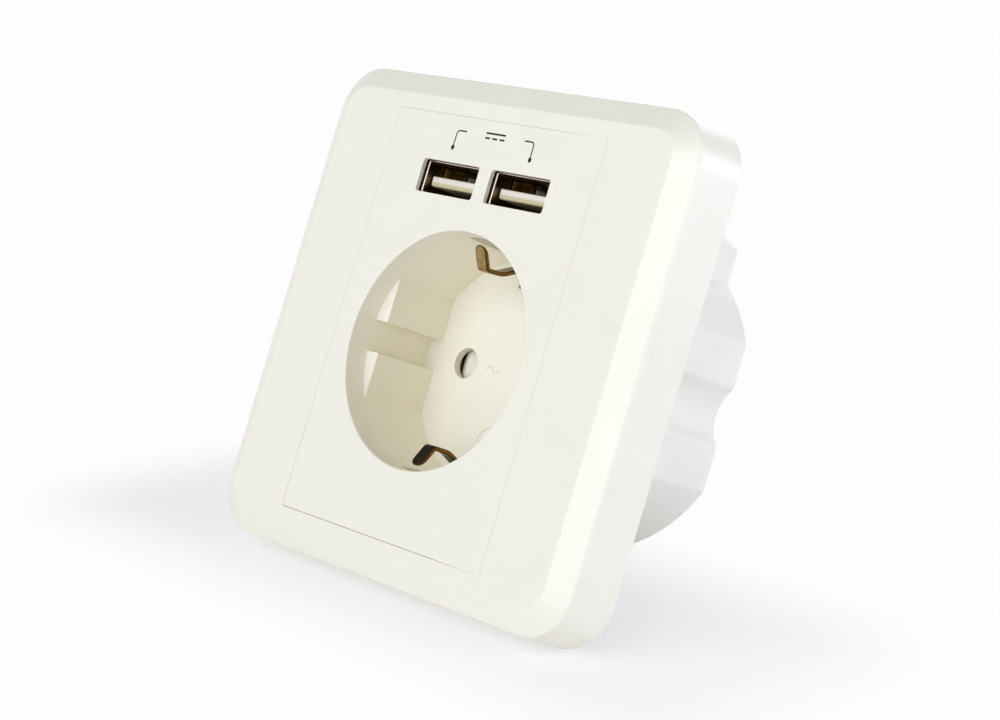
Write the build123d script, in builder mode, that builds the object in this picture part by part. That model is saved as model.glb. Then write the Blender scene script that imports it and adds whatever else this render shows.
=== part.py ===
"""Flush wall socket with an earthed plug well and two USB charging ports.

The origin is on the wall plane at the middle of the frame. X runs to the right as
seen from the room, Y runs into the wall and Z runs up. All sizes are millimetres.
"""
import os
from math import atan2, degrees, hypot

from build123d import *

os.makedirs("parts", exist_ok=True)

# Outer frame
frame_side = 82.4
frame_depth = 11.3
frame_corner_r = 8.7
frame_draft = 0.5
frame_wall = 1.9
frame_skin = 2.0
bevel_width = 3.8
bevel_depth = 2.2
bevel_edge_r = 0.5

# Centre plate, flush with the frame
plate_w = 47.0
plate_h = 68.4
plate_gap = 0.08
plate_skin = 1.8
plate_wall = 1.4
collar_wall = 1.2
collar_depth = 4.6
nib_w = 8.0
nib_height = 0.65
nib_length = 1.3
nib_rise = 20.0
nib_clear = 0.2

# Plug well moulded in the centre plate
well_drop = 3.3
well_r = 19.4
well_depth = 17.5
well_draft = 0.36
well_wall = 1.5
floor_t = 1.4
rim_r = 0.3
pin_pitch = 19.0
pin_r = 2.4
pin_length = 19.0
pin_hole_r = 2.6
rib_face = 16.3
rib_gap = 5.3
rib_setback = 4.2
pocket_w = 7.2
pocket_setback = 4.0
pocket_cut = 0.8
pocket_wall = 1.3
clip_slot_w = 5.6
clip_slot_inner = 14.1

# Earth bracket, one folded strip with a clip at each end
strip_t = 0.7
strip_w = 2.4
clip_tip_depth = 3.35
clip_tip_rise = 18.2
clip_nose_depth = 5.7
clip_nose_rise = 14.4
clip_heel_depth = 9.3
clip_heel_rise = 14.5
clip_root_depth = 15.5
clip_root_rise = 17.2
clip_nose_r = 1.0
clip_heel_r = 5.0
clip_root_r = 3.0
strip_bend_r = 0.8
strip_clear = 0.2
earth_leg_w = 4.0
earth_leg_rise = 6.4

# Shutter that closes the pin holes, and its leaf spring
shutter_t = 3.0
shutter_h = 7.6
shutter_end = 1.1
shutter_nose_r = 1.9
shutter_window_h = 5.4
shutter_clear = 0.2
shutter_gap = 0.8
slide_rib_t = 0.6
pin_cover = 0.1
ramp_margin = 0.5
ramp_floor = 0.8
spring_t = 0.3
spring_w = 2.2
spring_rise = 3.3
spring_tip_drop = 0.9
spring_bend_r = 0.9
spring_room = 0.8

# Carrier that holds the mains contacts
carrier_t = 2.6
chamber_w = 7.8
chamber_h = 8.8
chamber_wall = 1.2
guide_wall = 1.4

# Mains contacts and screw terminals
contact_w = 5.0
contact_mouth = 3.0
contact_mouth_gap = 0.4
contact_grip = 2.15
contact_grip_setback = 3.0
contact_grip_r = 2.0
contact_base = 2.8
lead_tab_room = 0.5
pin_tip_room = 0.6
terminal_z = -16.0
clamp_w = 7.0
clamp_h = 11.5
clamp_t = 1.2
terminal_screw_r = 1.5
terminal_head_r = 2.7
terminal_head_h = 1.8
terminal_screw_length = 6.0
terminal_room = 2.2
thread_clear = 0.05
screw_slot_w = 0.7
screw_slot_depth = 1.0
wire_r = 1.6
wire_spacing = 9.2
tool_hole_r = 2.2

# Rear housing, yoke and their fasteners
housing_wall = 1.8
housing_back = 2.0
housing_edge = 0.6
housing_corner_r = 1.4
well_room = 1.7
flat_room = 2.0
scallop_room = 0.4
scallop_wall = 1.5
box_pitch = 60.0
box_slot_w = 3.6
box_slot_length = 7.0
yoke_margin = 3.8
yoke_t = 1.2
yoke_corner_r = 6.0
yoke_room = 0.4
yoke_lip = 3.0
housing_screw_x = 17.0
housing_screw_rise = 9.7
housing_screw_r = 1.3
housing_head_r = 2.6
housing_head_h = 2.0
housing_screw_bite = 4.0
housing_head_sink = 0.4
screw_tip_room = 0.5
boss_r = 2.4
boss_clear = 0.2
column_r = 3.3
screw_clear = 0.15

# USB charger
usb_pitch = 15.9
usb_z = 23.8
usb_window_w = 13.1
usb_window_h = 5.5
usb_window_r = 0.5
usb_inner_w = 12.5
usb_inner_h = 5.1
usb_sheet = 0.35
usb_length = 14.0
usb_lip = 0.75
usb_setback = 0.5
usb_clear = 0.15
shell_corner_r = 0.6
leg_w = 2.0
leg_setback = 9.0
leg_stand = 0.8
tongue_w = 11.9
tongue_t = 1.65
tongue_lift = 1.3
tongue_setback = 1.2
tongue_corner_r = 0.5
tongue_base = 2.4
tongue_tip_chamfer = 0.15
usb_pin_w = 1.1
usb_pin_t = 0.3
usb_pin_proud = 0.12
usb_pin_pitch = 2.3
usb_pin_inset = 0.8
usb_pin_tail = 0.6
board_t = 1.6
board_front = 3.0
board_end_room = 0.3
board_side_room = 0.3
lobe_room = 0.3
lobe_side_room = 1.1
rail_t = 1.0
rail_w = 1.3
rail_clear = 0.1

# Charger parts on the board
core_setback = 4.5
core_t = 5.0
core_h = 7.0
core_leg = 4.0
core_side = 1.7
core_window_w = 2.3
core_yoke_h = 1.2
winding_overhang = 2.2
part_clear = 0.05
capacitor_setback = 3.0
capacitor_r = 3.1
capacitor_length = 11.0
capacitor_spread = 11.2
capacitor_crimp = 1.4
crimp_w = 0.6
crimp_depth = 0.25
chip_setback = 16.5
chip_spread = 4.0
chip_w = 5.0
chip_l = 3.9
chip_h = 1.4
chip_stand = 0.25
chip_lead_w = 0.45
chip_lead_pitch = 1.27
chip_lead_reach = 1.0
fuse_setback = 16.0
fuse_x = 12.5
fuse_r = 1.3
fuse_length = 7.0
fuse_cap = 1.2
lead_r = 0.7
solder_rim = 0.5
solder_h = 0.8
solder_taper = 25

# Depths, from the room to the back
front_y = -frame_depth
bevel_y = front_y + bevel_depth
cavity_y = front_y + frame_skin
collar_y = cavity_y + collar_depth
plate_back_y = front_y + plate_skin
floor_y = front_y + well_depth
floor_back_y = floor_y + floor_t
shutter_y = floor_back_y + shutter_gap
shutter_back_y = shutter_y + shutter_t
carrier_y = shutter_back_y + shutter_clear
carrier_back_y = carrier_y + carrier_t
tab_y = floor_y + pin_length + pin_tip_room
clamp_y = tab_y + strip_t
terminal_head_y = clamp_y + clamp_t
back_inner_y = terminal_head_y + terminal_head_h + terminal_room
back_y = back_inner_y + housing_back
boss_end_y = carrier_back_y - boss_clear
strip_y = carrier_y + strip_clear
strip_back_y = strip_y + strip_t
mouth_y = carrier_back_y + contact_mouth_gap
housing_seat_y = back_y - housing_head_sink - housing_head_h
shell_y = front_y + usb_lip + usb_setback
shell_end_y = shell_y + usb_length
tongue_y = shell_y + tongue_setback
leg_y = shell_y + leg_setback
board_y = shell_y + board_front
board_end_y = back_inner_y - board_end_room
core_y = shell_end_y + core_setback
capacitor_y = shell_end_y + capacitor_setback
chip_y = shell_end_y + chip_setback
fuse_y = shell_end_y + fuse_setback
lead_y = tab_y + strip_t / 2

# Sizes across the socket
well_z = -well_drop
well_outer_r = well_r + well_wall
well_floor_r = well_r - well_draft
well_taper = degrees(atan2(well_draft, well_depth))
window_w = plate_w + 2 * plate_gap
window_h = plate_h + 2 * plate_gap
pocket_z = well_r + pocket_cut
body_r = well_drop + well_outer_r + well_room + housing_wall
body_flat = well_outer_r + flat_room + housing_wall
scallop_r = box_pitch / 2 - well_outer_r - scallop_room - scallop_wall
shell_w = usb_inner_w + 2 * usb_sheet
shell_h = usb_inner_h + 2 * usb_sheet
shell_far = usb_pitch / 2 + shell_w / 2
shell_top = usb_z + shell_h / 2
lobe_r = hypot(shell_far, shell_top) + lobe_room + housing_wall
lobe_half = shell_far + lobe_side_room + housing_wall
lobe_inner = lobe_half - housing_wall
board_half = lobe_inner - board_side_room
board_top = usb_z - shell_h / 2
board_z = board_top - board_t
pin_x = pin_pitch / 2
earth_terminal_z = earth_leg_rise + strip_t + clamp_h / 2
pad_r = hypot(pocket_w / 2 + pocket_wall, pocket_z + pocket_wall)
yoke_side = frame_side - 2 * (frame_wall + yoke_margin)
yoke_hole_r = max(well_outer_r, pad_r) + yoke_room
yoke_hole_top = shell_top + yoke_room
shutter_travel = pin_r + ramp_margin + pin_hole_r + pin_cover
shutter_left = -pin_x - pin_hole_r - shutter_end
ramp_start = shutter_left + shutter_nose_r + pin_x
shutter_right = pin_x + shutter_travel + pin_r + ramp_margin + shutter_end
channel_left = shutter_left - shutter_travel - spring_room
channel_right = shutter_right + shutter_clear
channel_h = shutter_h + 2 * shutter_clear
slide_rib_rise = (shutter_h - slide_rib_t) / 2
lead_tab_z = well_z + chamber_h / 2 + chamber_wall + lead_tab_room
tongue_z = usb_z - usb_inner_h / 2 + tongue_lift + tongue_t / 2
usb_pin_z = tongue_z + tongue_t / 2 + usb_pin_proud - usb_pin_t
leg_x = (shell_w - usb_sheet) / 2
core_w = core_leg + 2 * (core_window_w + core_side)
terminals = ((-pin_x, terminal_z), (pin_x, terminal_z), (0, earth_terminal_z))
housing_screws_at = [
    (x, well_z + z)
    for x in (-housing_screw_x, housing_screw_x)
    for z in (-housing_screw_rise, housing_screw_rise)
]


def wall_plane(depth):
    """Sketch plane parallel to the wall: local x right, local y up, normal to the room."""
    return Plane.XZ.offset(-depth)


def housing_outline(inset):
    """Round body with side flats and screw scallops, and the charger's lobe above it."""
    with BuildSketch(Plane.XY, mode=Mode.PRIVATE) as lobe:
        Circle(lobe_r - inset)
        with Locations((0, lobe_r / 2)):
            Rectangle(2 * (lobe_half - inset), lobe_r, mode=Mode.INTERSECT)
    with BuildSketch(Plane.XY, mode=Mode.PRIVATE) as outline:
        Circle(body_r - inset)
        Rectangle(2 * (body_flat - inset), 2 * body_r, mode=Mode.INTERSECT)
        scallop_inset = min(inset, scallop_wall)
        with Locations((-box_pitch / 2, 0), (box_pitch / 2, 0)):
            Circle(scallop_r + scallop_inset, mode=Mode.SUBTRACT)
        add(lobe.sketch)
    return outline.sketch


# Outer frame: bevelled hollow surround with a collar round its window and four snap nibs
with BuildPart() as outer_frame:
    for depth, inset in ((0, 0), (bevel_y, frame_draft), (front_y, frame_draft + bevel_width)):
        with BuildSketch(wall_plane(depth)):
            side = frame_side - 2 * inset
            RectangleRounded(side, side, frame_corner_r - inset)
    loft(ruled=True)
    front_edges = outer_frame.faces().sort_by(Axis.Y)[0].edges()
    brow_edges = outer_frame.edges().filter_by_position(Axis.Y, bevel_y, bevel_y)
    fillet(front_edges + brow_edges, bevel_edge_r)
    for depth, inset in (
        (0, 0),
        (cavity_y + bevel_depth / 2, frame_draft),
        (cavity_y, frame_draft + bevel_width / 2),
    ):
        with BuildSketch(wall_plane(depth)):
            side = frame_side - 2 * (frame_wall + inset)
            RectangleRounded(side, side, frame_corner_r - frame_wall - inset)
    loft(ruled=True, mode=Mode.SUBTRACT)
    with BuildSketch(wall_plane(cavity_y)):
        Rectangle(window_w + 2 * collar_wall, window_h + 2 * collar_wall)
    extrude(amount=-collar_depth)
    with BuildSketch(wall_plane(front_y)):
        Rectangle(window_w, window_h)
    extrude(amount=-frame_depth, mode=Mode.SUBTRACT)
    for nib_z in (-nib_rise, nib_rise):
        with BuildSketch(Plane.XY.offset(nib_z)):
            with BuildLine():
                Polyline(
                    (window_w / 2, collar_y),
                    (window_w / 2 - nib_height, collar_y - nib_length),
                    (window_w / 2, collar_y - nib_length),
                    close=True,
                )
            make_face()
            mirror(about=Plane.YZ)
        extrude(amount=nib_w / 2, both=True)
outer_frame.part.label = "outer_frame"
export_step(outer_frame.part, "parts/outer_frame.step")

# Centre plate: front skin and side walls, plug well with ribs, clip pockets and bosses
with BuildPart() as centre_plate:
    with BuildSketch(wall_plane(front_y)):
        Rectangle(plate_w, plate_h)
    extrude(amount=-plate_skin)
    with BuildSketch(wall_plane(plate_back_y)):
        Rectangle(plate_w, plate_h)
        offset(amount=-plate_wall, kind=Kind.INTERSECTION, mode=Mode.SUBTRACT)
    extrude(amount=-(-yoke_t - plate_back_y))
    with BuildSketch(wall_plane(plate_back_y)):
        with Locations((0, well_z)):
            Circle(well_outer_r)
    extrude(amount=-(floor_back_y - plate_back_y))
    with BuildSketch(wall_plane(front_y + pocket_setback - floor_t)):
        with Locations((0, well_z)):
            Rectangle(pocket_w + 2 * pocket_wall, 2 * (pocket_z + pocket_wall))
    extrude(amount=-(floor_back_y - front_y - pocket_setback + floor_t))
    with BuildSketch(wall_plane(floor_y)):
        with Locations((0, well_z)):
            Circle(well_floor_r)
    extrude(amount=well_depth, taper=-well_taper, mode=Mode.SUBTRACT)
    rim = centre_plate.edges().filter_by(GeomType.CIRCLE).sort_by(Axis.Y)[0]
    fillet(rim, rim_r)
    with BuildSketch(wall_plane(front_y + rib_setback)):
        with Locations((0, well_z)):
            Circle(well_r + well_wall / 2)
            Rectangle(2 * rib_face, 2 * well_outer_r, mode=Mode.SUBTRACT)
            Rectangle(2 * well_outer_r, rib_gap, mode=Mode.SUBTRACT)
    extrude(amount=-(well_depth - rib_setback))
    with BuildSketch(wall_plane(front_y + pocket_setback)):
        with Locations((0, well_z)):
            Rectangle(pocket_w, 2 * pocket_z)
            Rectangle(pocket_w, 2 * clip_slot_inner, mode=Mode.SUBTRACT)
    extrude(amount=-(well_depth - pocket_setback), mode=Mode.SUBTRACT)
    with BuildSketch(wall_plane(floor_y)):
        with Locations((0, well_z)):
            Rectangle(clip_slot_w, 2 * well_floor_r)
            Rectangle(clip_slot_w, 2 * clip_slot_inner, mode=Mode.SUBTRACT)
        with Locations((-pin_x, well_z), (pin_x, well_z)):
            Circle(pin_hole_r)
    extrude(amount=-floor_t, mode=Mode.SUBTRACT)
    with BuildSketch(wall_plane(front_y)):
        with Locations((-usb_pitch / 2, usb_z), (usb_pitch / 2, usb_z)):
            RectangleRounded(usb_window_w, usb_window_h, usb_window_r)
    extrude(amount=-plate_skin, mode=Mode.SUBTRACT)
    with BuildSketch(wall_plane(front_y + usb_lip)):
        with Locations((-usb_pitch / 2, usb_z), (usb_pitch / 2, usb_z)):
            Rectangle(shell_w + 2 * usb_clear, shell_h + 2 * usb_clear)
    extrude(amount=-(plate_skin - usb_lip), mode=Mode.SUBTRACT)
    with BuildSketch(wall_plane(floor_back_y)):
        rib_x = (channel_left + channel_right) / 2
        for rib_z in (well_z - slide_rib_rise, well_z + slide_rib_rise):
            with Locations((rib_x, rib_z)):
                Rectangle(channel_right - channel_left, slide_rib_t)
    extrude(amount=-(shutter_gap - shutter_clear))
    with BuildSketch(wall_plane(floor_back_y)):
        with Locations(*housing_screws_at):
            Circle(boss_r)
    extrude(amount=-(boss_end_y - floor_back_y))
    with BuildSketch(wall_plane(boss_end_y)):
        with Locations(*housing_screws_at):
            Circle(housing_screw_r + thread_clear)
    extrude(amount=housing_screw_bite + screw_tip_room, mode=Mode.SUBTRACT)
    with BuildSketch(wall_plane(collar_y + nib_clear)):
        for nib_z in (-nib_rise, nib_rise):
            with Locations((-plate_w / 2, nib_z), (plate_w / 2, nib_z)):
                Rectangle(2 * plate_wall, nib_w + 2 * nib_clear)
    extrude(amount=nib_length + 2 * nib_clear, mode=Mode.SUBTRACT)
centre_plate.part.label = "centre_plate"
export_step(centre_plate.part, "parts/centre_plate.step")

# Mounting yoke: pressed steel plate clamped between the centre plate and the housing
with BuildPart() as mounting_yoke:
    with BuildSketch(wall_plane(0)):
        RectangleRounded(yoke_side, yoke_side, yoke_corner_r)
        with Locations((0, well_z)):
            Circle(yoke_hole_r, mode=Mode.SUBTRACT)
        with Locations((0, (well_z + yoke_hole_top) / 2)):
            Rectangle(2 * lobe_inner, yoke_hole_top - well_z, mode=Mode.SUBTRACT)
        with Locations((-box_pitch / 2, 0), (box_pitch / 2, 0)):
            SlotOverall(box_slot_length, box_slot_w, mode=Mode.SUBTRACT)
    extrude(amount=yoke_t)
    lip_x = yoke_side / 2 - yoke_t / 2
    with BuildSketch(wall_plane(-yoke_t)):
        with Locations((-lip_x, 0), (lip_x, 0)):
            Rectangle(yoke_t, yoke_side - 2 * yoke_corner_r)
    extrude(amount=yoke_lip)
mounting_yoke.part.label = "mounting_yoke"
export_step(mounting_yoke.part, "parts/mounting_yoke.step")

# Rear housing: shell with screw columns, board rails, and holes for wires and tools
with BuildPart() as rear_housing:
    with BuildSketch(wall_plane(0)) as outer_shape:
        add(housing_outline(0))
        rows = outer_shape.vertices().group_by(Axis.Y)
        fillet(rows[0] + rows[1] + rows[2] + rows[-1], housing_corner_r)
    extrude(amount=-back_y)
    chamfer(rear_housing.faces().sort_by(Axis.Y)[-1].edges(), housing_edge)
    with BuildSketch(wall_plane(0)):
        add(housing_outline(housing_wall))
    extrude(amount=-back_inner_y, mode=Mode.SUBTRACT)
    with BuildSketch(wall_plane(carrier_back_y)):
        with Locations(*housing_screws_at):
            Circle(column_r)
    extrude(amount=-(back_inner_y - carrier_back_y))
    rail_reach = body_flat - board_half + rail_w
    rail_x = board_half - rail_w + rail_reach / 2
    with BuildSketch(wall_plane(shell_end_y)):
        for rail_z in (board_z - rail_t / 2, board_top + rail_clear + rail_t / 2):
            with Locations((-rail_x, rail_z), (rail_x, rail_z)):
                Rectangle(rail_reach, rail_t)
        add(housing_outline(housing_wall / 2), mode=Mode.INTERSECT)
    extrude(amount=-(back_inner_y - shell_end_y))
    with BuildSketch(wall_plane(back_y)):
        with Locations(*housing_screws_at):
            Circle(housing_screw_r + screw_clear)
    extrude(amount=back_y - carrier_back_y, mode=Mode.SUBTRACT)
    with BuildSketch(wall_plane(back_y)):
        with Locations(*housing_screws_at):
            Circle(housing_head_r + screw_clear)
    extrude(amount=back_y - housing_seat_y, mode=Mode.SUBTRACT)
    with BuildSketch(wall_plane(back_y)):
        with Locations(*terminals):
            Circle(tool_hole_r)
        for x, z in terminals:
            with Locations((x, z - wire_spacing / 2), (x, z + wire_spacing / 2)):
                Circle(wire_r)
    extrude(amount=housing_back, mode=Mode.SUBTRACT)
rear_housing.part.label = "rear_housing"
export_step(rear_housing.part, "parts/rear_housing.step")

# Housing screws: four screws driven from behind into the bosses of the centre plate
with BuildPart() as housing_screws:
    with BuildSketch(wall_plane(housing_seat_y)):
        with Locations(*housing_screws_at):
            Circle(housing_head_r)
    extrude(amount=-housing_head_h)
    with BuildSketch(wall_plane(housing_seat_y)):
        with Locations(*housing_screws_at):
            Circle(housing_screw_r)
    extrude(amount=housing_seat_y - boss_end_y + housing_screw_bite)
    with BuildSketch(wall_plane(housing_seat_y + housing_head_h)):
        with Locations(*housing_screws_at):
            Rectangle(2 * housing_screw_r, screw_slot_w)
            Rectangle(screw_slot_w, 2 * housing_screw_r)
    extrude(amount=screw_slot_depth, mode=Mode.SUBTRACT)
housing_screws.part.label = "housing_screws"
export_step(housing_screws.part, "parts/housing_screws.step")

# Contact carrier: disc with a channel for the shutter and a chamber round each contact
with BuildPart() as contact_carrier:
    with BuildSketch(wall_plane(carrier_y)):
        with Locations((0, well_z)):
            Circle(well_outer_r)
        with Locations(*housing_screws_at):
            Circle(boss_r + boss_clear, mode=Mode.SUBTRACT)
    extrude(amount=-carrier_t)
    with BuildSketch(wall_plane(carrier_back_y)):
        with Locations((-pin_x, well_z), (pin_x, well_z)):
            Rectangle(chamber_w + 2 * chamber_wall, chamber_h + 2 * chamber_wall)
            Rectangle(chamber_w, chamber_h, mode=Mode.SUBTRACT)
    extrude(amount=-(tab_y - carrier_back_y))
    with BuildSketch(wall_plane(floor_back_y)):
        with Locations((0, well_z)):
            Circle(well_outer_r)
            Rectangle(2 * well_outer_r, channel_h + 2 * guide_wall, mode=Mode.INTERSECT)
        with Locations(((channel_left + channel_right) / 2, well_z)):
            Rectangle(channel_right - channel_left, channel_h, mode=Mode.SUBTRACT)
    extrude(amount=-(carrier_y - floor_back_y))
    with BuildSketch(wall_plane(floor_back_y)):
        with Locations((-pin_x, well_z), (pin_x, well_z)):
            Circle(pin_hole_r)
        with Locations((0, earth_leg_rise + strip_t / 2)):
            Rectangle(earth_leg_w + 2 * strip_clear, strip_t + 2 * strip_clear)
    extrude(amount=-(carrier_back_y - floor_back_y), mode=Mode.SUBTRACT)
    with BuildSketch(wall_plane(floor_back_y)):
        with Locations((0, well_z)):
            Rectangle(strip_w + 2 * strip_clear, 2 * (clip_root_rise + strip_t + strip_clear))
    extrude(amount=-(strip_back_y - floor_back_y), mode=Mode.SUBTRACT)
contact_carrier.part.label = "contact_carrier"
export_step(contact_carrier.part, "parts/contact_carrier.step")

# Mains contacts: a sprung fork round each pin, with a tail under the clamp
for label, x in (("line_contact", -pin_x), ("neutral_contact", pin_x)):
    with BuildPart() as contact:
        with BuildSketch(Plane.XY.offset(well_z)):
            with BuildLine():
                FilletPolyline(
                    (x - contact_mouth, mouth_y),
                    (x - contact_grip, mouth_y + contact_grip_setback),
                    (x - contact_base, tab_y),
                    (x + contact_base, tab_y),
                    (x + contact_grip, mouth_y + contact_grip_setback),
                    (x + contact_mouth, mouth_y),
                    radius=[contact_grip_r, strip_bend_r, strip_bend_r, contact_grip_r],
                )
                offset(amount=strip_t, side=Side.LEFT)
            make_face()
        extrude(amount=contact_w / 2, both=True)
        tail_low = terminal_z - clamp_h / 2
        with BuildSketch(wall_plane(tab_y)):
            with Locations((x, (tail_low + lead_tab_z) / 2)):
                Rectangle(2 * contact_base, lead_tab_z - tail_low)
            with Locations((x, terminal_z)):
                Circle(terminal_screw_r + thread_clear, mode=Mode.SUBTRACT)
        extrude(amount=-strip_t)
    contact.part.label = label
    export_step(contact.part, f"parts/{label}.step")

# Earth bracket: one strip folded into two clips, with a leg back to its clamp
with BuildPart() as earth_bracket:
    clip_path = (
        (front_y + clip_tip_depth, clip_tip_rise),
        (front_y + clip_nose_depth, clip_nose_rise),
        (front_y + clip_heel_depth, clip_heel_rise),
        (front_y + clip_root_depth, clip_root_rise),
        (strip_y, clip_root_rise),
    )
    upper_clip = [(y, well_z + rise) for y, rise in clip_path]
    lower_clip = [(y, well_z - rise) for y, rise in reversed(clip_path)]
    clip_bends = [clip_nose_r, clip_heel_r, clip_root_r, strip_bend_r]
    with BuildSketch(Plane.YZ):
        with BuildLine():
            FilletPolyline(*upper_clip, *lower_clip, radius=clip_bends + clip_bends[::-1])
            offset(amount=strip_t, side=Side.LEFT)
        make_face()
    extrude(amount=strip_w / 2, both=True)
    with BuildSketch(wall_plane(front_y)):
        with Locations((0, well_z)):
            Rectangle(2 * strip_w, 2 * (clip_tip_rise + strip_t))
            SlotOverall(2 * clip_tip_rise, strip_w, rotation=90, mode=Mode.SUBTRACT)
    extrude(amount=-clip_nose_depth, mode=Mode.SUBTRACT)
    with BuildSketch(wall_plane(strip_back_y)):
        with Locations((0, earth_leg_rise + strip_t / 2)):
            Rectangle(earth_leg_w, strip_t)
    extrude(amount=-(clamp_y - strip_back_y))
    with BuildSketch(wall_plane(tab_y)):
        with Locations((0, earth_leg_rise + (strip_t + clamp_h) / 2)):
            Rectangle(clamp_w, strip_t + clamp_h)
        with Locations((0, earth_terminal_z)):
            Circle(terminal_screw_r + thread_clear, mode=Mode.SUBTRACT)
    extrude(amount=-strip_t)
earth_bracket.part.label = "earth_bracket"
export_step(earth_bracket.part, "parts/earth_bracket.step")

# Shutter: sliding bar with a window and a ramp for each pin
with BuildPart() as shutter:
    with BuildSketch(wall_plane(shutter_y)):
        with Locations(((shutter_left + shutter_right) / 2, well_z)):
            Rectangle(shutter_right - shutter_left, shutter_h)
        with Locations((-pin_x + shutter_travel, well_z), (pin_x + shutter_travel, well_z)):
            Rectangle(2 * (pin_r + ramp_margin), shutter_window_h, mode=Mode.SUBTRACT)
    extrude(amount=-shutter_t)
    front_edges = shutter.faces().sort_by(Axis.Y)[0].edges()
    fillet(front_edges.sort_by(Axis.X)[0], shutter_nose_r)
    for x in (-pin_x, pin_x):
        with BuildSketch(Plane.XY.offset(well_z)):
            with BuildLine():
                Polyline(
                    (x + ramp_start, shutter_y),
                    (x + pin_hole_r + pin_cover, shutter_y),
                    (x + pin_hole_r + pin_cover, shutter_back_y - ramp_floor),
                    close=True,
                )
            make_face()
        extrude(amount=shutter_window_h / 2, both=True, mode=Mode.SUBTRACT)
shutter.part.label = "shutter"
export_step(shutter.part, "parts/shutter.step")

# Shutter spring: V-shaped leaf between the shutter and the end of its channel
with BuildPart() as shutter_spring:
    with BuildSketch(wall_plane(shutter_y + (shutter_t - spring_w) / 2)):
        with BuildLine():
            FilletPolyline(
                (channel_left, well_z + spring_rise),
                (channel_left, well_z - spring_rise),
                (shutter_left, well_z + spring_rise - spring_tip_drop),
                radius=spring_bend_r,
            )
            offset(amount=spring_t, side=Side.LEFT)
        make_face()
    extrude(amount=-spring_w)
shutter_spring.part.label = "shutter_spring"
export_step(shutter_spring.part, "parts/shutter_spring.step")

# Terminal clamps: plates that press the wires on the tails
for label, place in zip(("line_clamp", "neutral_clamp", "earth_clamp"), terminals):
    with BuildPart() as clamp:
        with BuildSketch(wall_plane(clamp_y)):
            with Locations(place):
                Rectangle(clamp_w, clamp_h)
                Circle(terminal_screw_r + screw_clear, mode=Mode.SUBTRACT)
        extrude(amount=-clamp_t)
    clamp.part.label = label
    export_step(clamp.part, f"parts/{label}.step")

# Terminal screws: three alike, reached through the back of the housing
with BuildPart() as terminal_screws:
    with BuildSketch(wall_plane(terminal_head_y)):
        with Locations(*terminals):
            Circle(terminal_head_r)
    extrude(amount=-terminal_head_h)
    with BuildSketch(wall_plane(terminal_head_y)):
        with Locations(*terminals):
            Circle(terminal_screw_r)
    extrude(amount=terminal_screw_length)
    with BuildSketch(wall_plane(terminal_head_y + terminal_head_h)):
        with Locations(*terminals):
            Rectangle(2 * terminal_screw_r, screw_slot_w)
            Rectangle(screw_slot_w, 2 * terminal_screw_r)
    extrude(amount=screw_slot_depth, mode=Mode.SUBTRACT)
terminal_screws.part.label = "terminal_screws"
export_step(terminal_screws.part, "parts/terminal_screws.step")

# Charger board: slides in the housing's rails, with slots for the shells' legs
with BuildPart() as charger_board:
    with BuildSketch(Plane.XY.offset(board_z)):
        with Locations((0, (board_y + board_end_y) / 2)):
            Rectangle(2 * board_half, board_end_y - board_y)
        for x in (-usb_pitch / 2, usb_pitch / 2):
            with Locations((x - leg_x, leg_y), (x + leg_x, leg_y)):
                Rectangle(usb_sheet + 2 * part_clear, leg_w + 2 * part_clear, mode=Mode.SUBTRACT)
        with Locations((-pin_x, lead_y), (pin_x, lead_y)):
            Circle(lead_r + part_clear, mode=Mode.SUBTRACT)
    extrude(amount=board_t)
charger_board.part.label = "charger_board"
export_step(charger_board.part, "parts/charger_board.step")

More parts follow.
